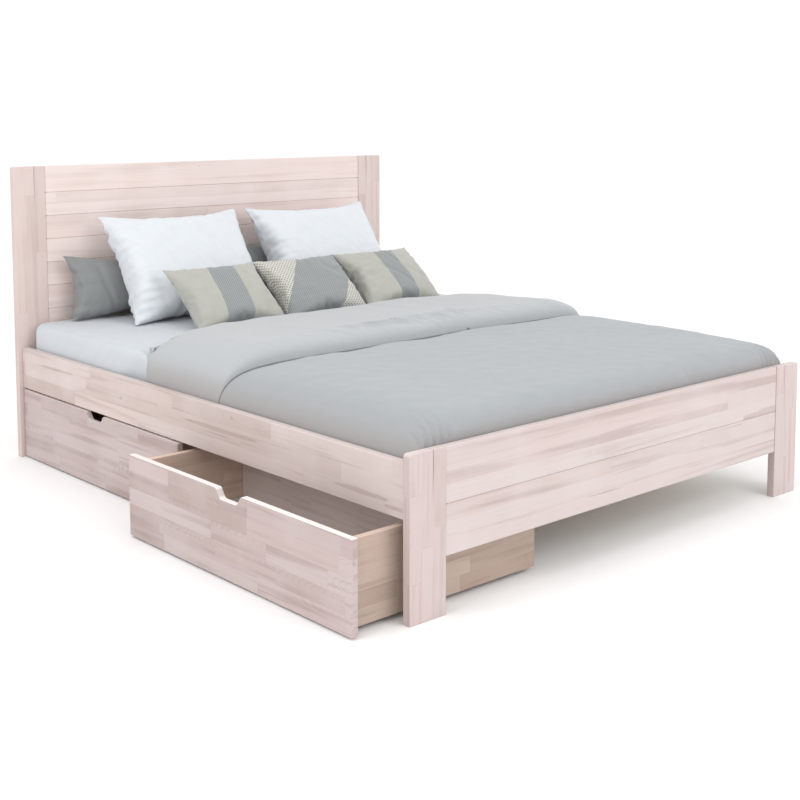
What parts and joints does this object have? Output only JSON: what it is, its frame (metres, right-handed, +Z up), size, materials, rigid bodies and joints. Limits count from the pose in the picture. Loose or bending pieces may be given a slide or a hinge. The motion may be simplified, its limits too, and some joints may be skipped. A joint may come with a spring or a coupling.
{
  "type": "platform bed with storage drawers",
  "caption": "Low solid-wood double bed with plank headboard and footboard, roll-out drawers under one side, slats, mattress and bedding.",
  "frame": {"origin": "on the floor, in the middle of the bottom face of the centre support leg", "axes": "+Z up, +Y from the foot to the headboard, +X to the right side, so the drawers roll out along -X"},
  "size_m": [1.839, 2.07, 1.028],
  "materials": {
    "beech": "whitewashed oiled solid beech, glued from finger-jointed staves",
    "drawer_front": "whitewashed oiled beech, slightly greyer",
    "drawer_box": "oiled beech, plain inside",
    "support_wood": "raw planed softwood",
    "slat_wood": "raw planed softwood slats",
    "steel": "zinc-plated steel",
    "housing_plastic": "moulded black plastic",
    "wheel_plastic": "moulded grey plastic",
    "sheet_cotton": "white cotton sheet and pillowcases",
    "duvet_cotton": "grey cotton duvet cover",
    "dark_cotton": "dark grey woven cotton",
    "striped_cotton": "off-white cushion cloth with a wide grey band",
    "patterned_cotton": "off-white honeycomb weave with a wide grey band"
  },
  "bodies": {
    "bed": {"head_post_left": "beech", "head_post_right": "beech", "headboard_top_board": "beech", "headboard_plank_1": "beech", "headboard_plank_2": "beech", "headboard_plank_3": "beech", "headboard_plank_4": "beech", "headboard_plank_5": "beech", "headboard_base_board": "beech", "foot_post_left": "beech", "foot_post_right": "beech", "footboard_lower_board": "beech", "footboard_upper_board": "beech", "side_rail_left": "beech", "slat_ledger_left": "support_wood", "side_rail_right": "beech", "slat_ledger_right": "support_wood", "centre_beam": "support_wood", "centre_leg": "support_wood", "slat_mat": "slat_wood", "corner_bracket_head_left": "steel", "corner_bracket_head_right": "steel", "corner_bracket_foot_left": "steel", "corner_bracket_foot_right": "steel", "mattress": "sheet_cotton", "duvet": "duvet_cotton", "dark_pillow_left": "dark_cotton", "dark_pillow_right": "dark_cotton", "white_pillow_left": "sheet_cotton", "white_pillow_right": "sheet_cotton", "striped_cushion_left": "striped_cotton", "patterned_cushion": "patterned_cotton", "striped_cushion_right": "striped_cotton"},
    "head_drawer": {"head_drawer_front": "drawer_front", "head_drawer_side_foot": "drawer_box", "head_drawer_side_head": "drawer_box", "head_drawer_back": "drawer_box", "head_drawer_bottom": "drawer_box", "head_drawer_housing_front_foot": "housing_plastic", "head_drawer_housing_front_head": "housing_plastic", "head_drawer_housing_back_foot": "housing_plastic", "head_drawer_housing_back_head": "housing_plastic"},
    "head_drawer_wheel_front_foot": {"head_drawer_wheel_front_foot": "wheel_plastic"},
    "head_drawer_wheel_front_head": {"head_drawer_wheel_front_head": "wheel_plastic"},
    "head_drawer_wheel_back_foot": {"head_drawer_wheel_back_foot": "wheel_plastic"},
    "head_drawer_wheel_back_head": {"head_drawer_wheel_back_head": "wheel_plastic"},
    "foot_drawer": {"foot_drawer_front": "drawer_front", "foot_drawer_side_foot": "drawer_box", "foot_drawer_side_head": "drawer_box", "foot_drawer_back": "drawer_box", "foot_drawer_bottom": "drawer_box", "foot_drawer_divider": "drawer_box", "foot_drawer_housing_front_foot": "housing_plastic", "foot_drawer_housing_front_head": "housing_plastic", "foot_drawer_housing_back_foot": "housing_plastic", "foot_drawer_housing_back_head": "housing_plastic"},
    "foot_drawer_wheel_front_foot": {"foot_drawer_wheel_front_foot": "wheel_plastic"},
    "foot_drawer_wheel_front_head": {"foot_drawer_wheel_front_head": "wheel_plastic"},
    "foot_drawer_wheel_back_foot": {"foot_drawer_wheel_back_foot": "wheel_plastic"},
    "foot_drawer_wheel_back_head": {"foot_drawer_wheel_back_head": "wheel_plastic"}
  },
  "joints": [
    {"name": "head_drawer_slide", "type": "slide", "parent": "bed", "child": "head_drawer", "axis": [-1, 0, 0], "range_m": [0, 0.6]},
    {"name": "head_drawer_wheel_front_foot_roll", "type": "hinge", "parent": "head_drawer", "child": "head_drawer_wheel_front_foot", "pos_m": [-0.7367, 0.125, 0.02], "axis": [0, -1, 0], "range_deg": [-20, 1739]},
    {"name": "head_drawer_wheel_front_head_roll", "type": "hinge", "parent": "head_drawer", "child": "head_drawer_wheel_front_head", "pos_m": [-0.7367, 0.885, 0.02], "axis": [0, -1, 0], "range_deg": [-20, 1739]},
    {"name": "head_drawer_wheel_back_foot_roll", "type": "hinge", "parent": "head_drawer", "child": "head_drawer_wheel_back_foot", "pos_m": [-0.257, 0.125, 0.02], "axis": [0, -1, 0], "range_deg": [-20, 1739]},
    {"name": "head_drawer_wheel_back_head_roll", "type": "hinge", "parent": "head_drawer", "child": "head_drawer_wheel_back_head", "pos_m": [-0.257, 0.885, 0.02], "axis": [0, -1, 0], "range_deg": [-20, 1739]},
    {"name": "foot_drawer_slide", "type": "slide", "parent": "bed", "child": "foot_drawer", "axis": [-1, 0, 0], "range_m": [-0.17, 0.43]},
    {"name": "foot_drawer_wheel_front_foot_roll", "type": "hinge", "parent": "foot_drawer", "child": "foot_drawer_wheel_front_foot", "pos_m": [-0.9067, -0.885, 0.02], "axis": [0, -1, 0], "range_deg": [-507, 1252]},
    {"name": "foot_drawer_wheel_front_head_roll", "type": "hinge", "parent": "foot_drawer", "child": "foot_drawer_wheel_front_head", "pos_m": [-0.9067, -0.125, 0.02], "axis": [0, -1, 0], "range_deg": [-507, 1252]},
    {"name": "foot_drawer_wheel_back_foot_roll", "type": "hinge", "parent": "foot_drawer", "child": "foot_drawer_wheel_back_foot", "pos_m": [-0.427, -0.885, 0.02], "axis": [0, -1, 0], "range_deg": [-507, 1252]},
    {"name": "foot_drawer_wheel_back_head_roll", "type": "hinge", "parent": "foot_drawer", "child": "foot_drawer_wheel_back_head", "pos_m": [-0.427, -0.125, 0.02], "axis": [0, -1, 0], "range_deg": [-507, 1252]}
  ],
  "couplings": [
    {"joint": "head_drawer_wheel_front_foot_roll", "follows": "head_drawer_slide", "rad_per_m": 50},
    {"joint": "head_drawer_wheel_front_head_roll", "follows": "head_drawer_slide", "rad_per_m": 50},
    {"joint": "head_drawer_wheel_back_foot_roll", "follows": "head_drawer_slide", "rad_per_m": 50},
    {"joint": "head_drawer_wheel_back_head_roll", "follows": "head_drawer_slide", "rad_per_m": 50},
    {"joint": "foot_drawer_wheel_front_foot_roll", "follows": "foot_drawer_slide", "rad_per_m": 50},
    {"joint": "foot_drawer_wheel_front_head_roll", "follows": "foot_drawer_slide", "rad_per_m": 50},
    {"joint": "foot_drawer_wheel_back_foot_roll", "follows": "foot_drawer_slide", "rad_per_m": 50},
    {"joint": "foot_drawer_wheel_back_head_roll", "follows": "foot_drawer_slide", "rad_per_m": 50}
  ]
}
